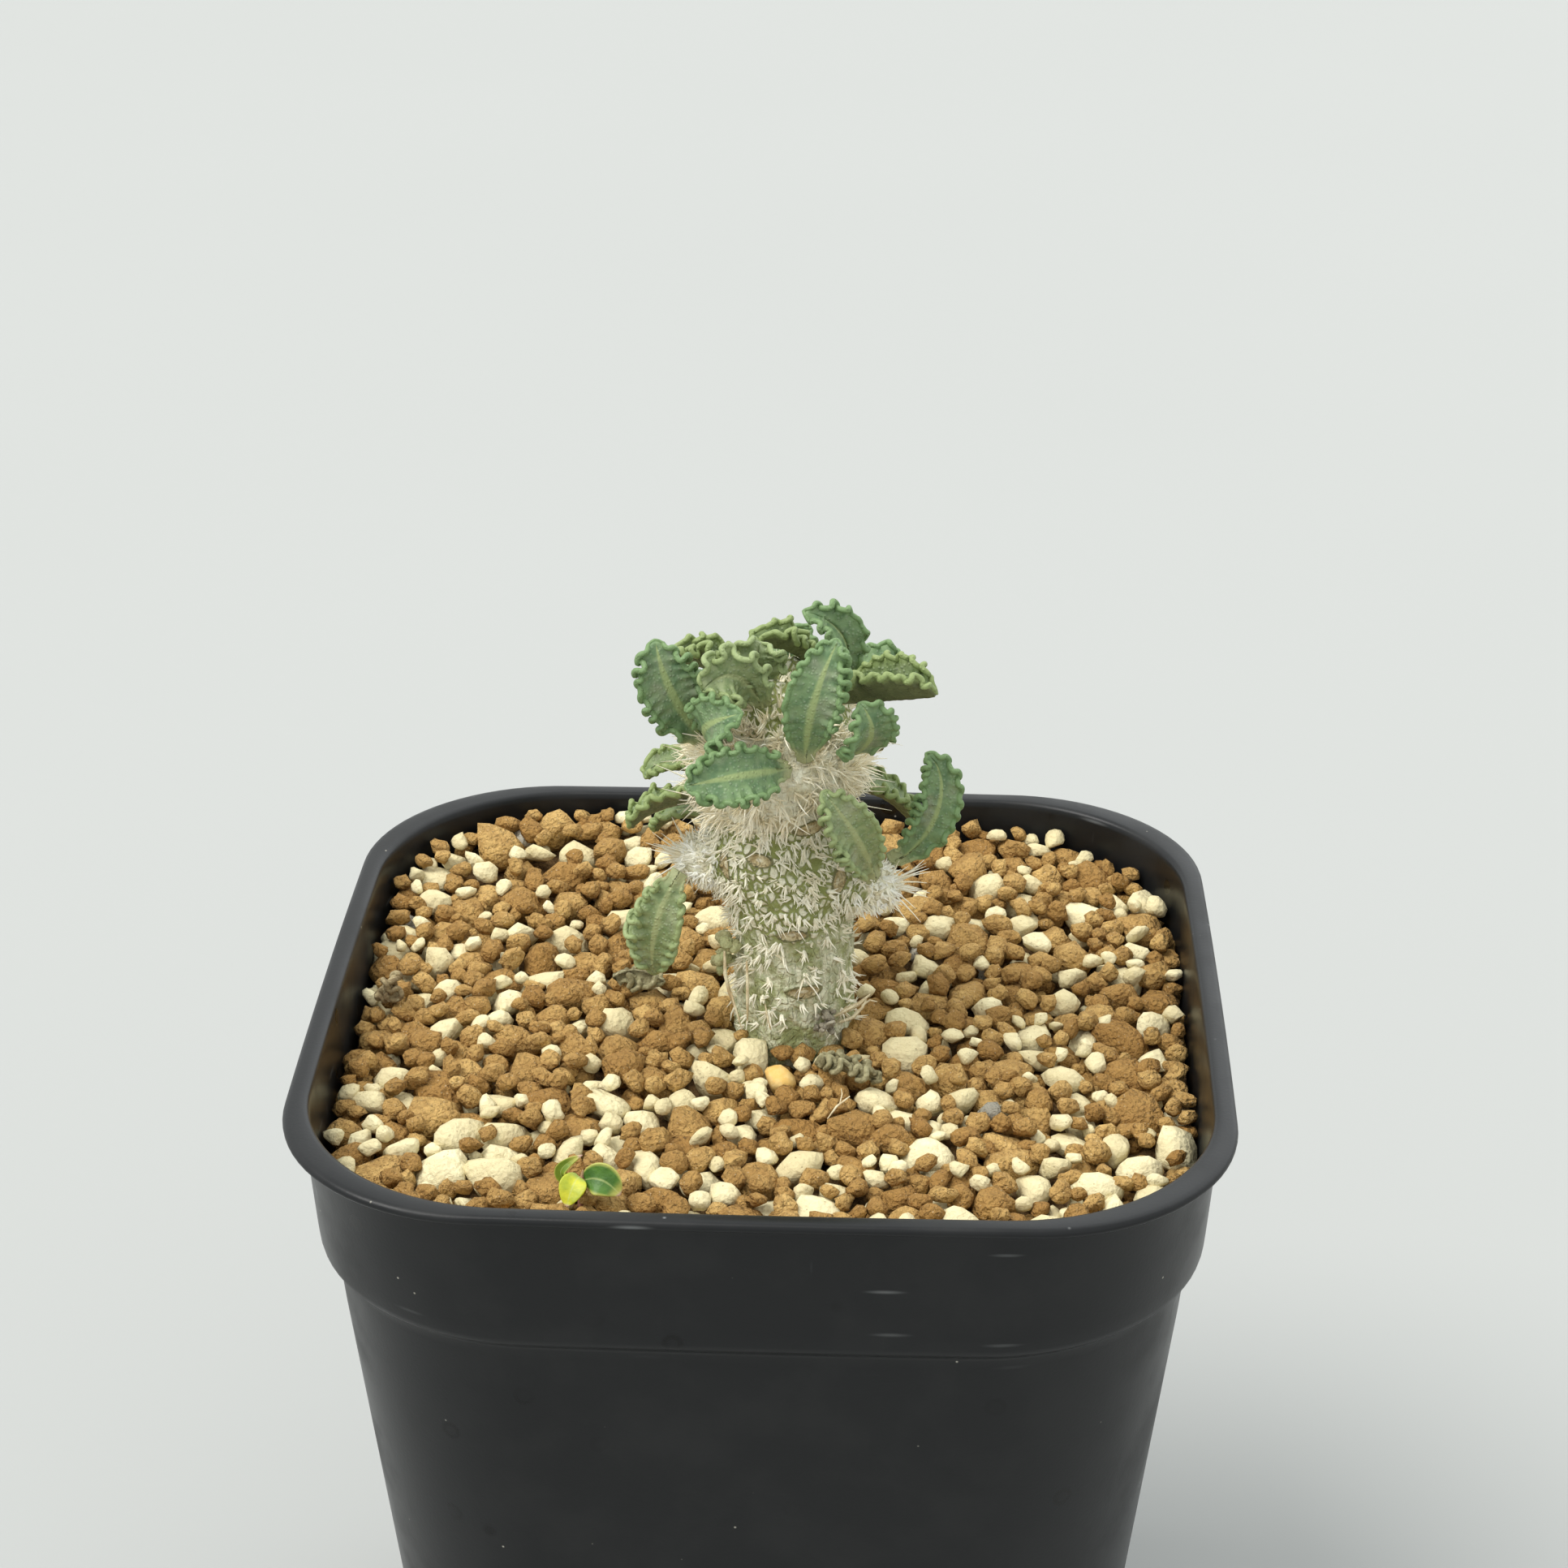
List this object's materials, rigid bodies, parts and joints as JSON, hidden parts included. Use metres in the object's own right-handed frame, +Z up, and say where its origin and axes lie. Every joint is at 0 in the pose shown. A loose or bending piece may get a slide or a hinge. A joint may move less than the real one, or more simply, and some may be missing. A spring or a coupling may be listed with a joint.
{
  "type": "potted euphorbia tulearensis",
  "caption": "Young bristly succulent with a stout knobbly stem and a crown of crinkled leaves, growing in gritty mix in a square plastic nursery pot.",
  "frame": {"origin": "middle of the pot's underside, at the height of the surface that it stands on", "axes": "+Z up; -Y towards the side of the pot that the picture shows; +X to the right in the picture"},
  "size_m": [0.075, 0.075, 0.1083],
  "materials": {
    "pot_plastic": "satin",
    "grit": "matte",
    "stem_skin": "matte",
    "leaf_green": "matte",
    "dead_leaf": "matte",
    "seedling_green": "satin"
  },
  "bodies": {
    "root": {"pot": "pot_plastic", "growing_mix": "grit", "stem": "stem_skin", "leaf_left_upright": "leaf_green", "leaf_left_level": "leaf_green", "leaf_top_level": "leaf_green", "leaf_top": "leaf_green", "leaf_centre": "leaf_green", "leaf_right_level": "leaf_green", "leaf_right_back": "leaf_green", "leaf_right_rising": "leaf_green", "leaf_young_outer": "leaf_green", "leaf_young_inner": "leaf_green", "leaf_left_front": "leaf_green", "leaf_front_low": "leaf_green", "leaf_left_small": "leaf_green", "leaf_left_drooping": "leaf_green", "leaf_left_under": "leaf_green", "leaf_left_hanging": "leaf_green", "leaf_right_inner": "leaf_green", "leaf_right_hooked": "leaf_green", "leaf_right_under": "leaf_green", "leaf_back_left": "leaf_green", "leaf_back_rising": "leaf_green", "leaf_back_right": "leaf_green", "leaf_back_low": "leaf_green", "dry_leaf_front": "dead_leaf", "dry_leaf_left": "dead_leaf", "seedling": "seedling_green"}
  },
  "joints": []
}
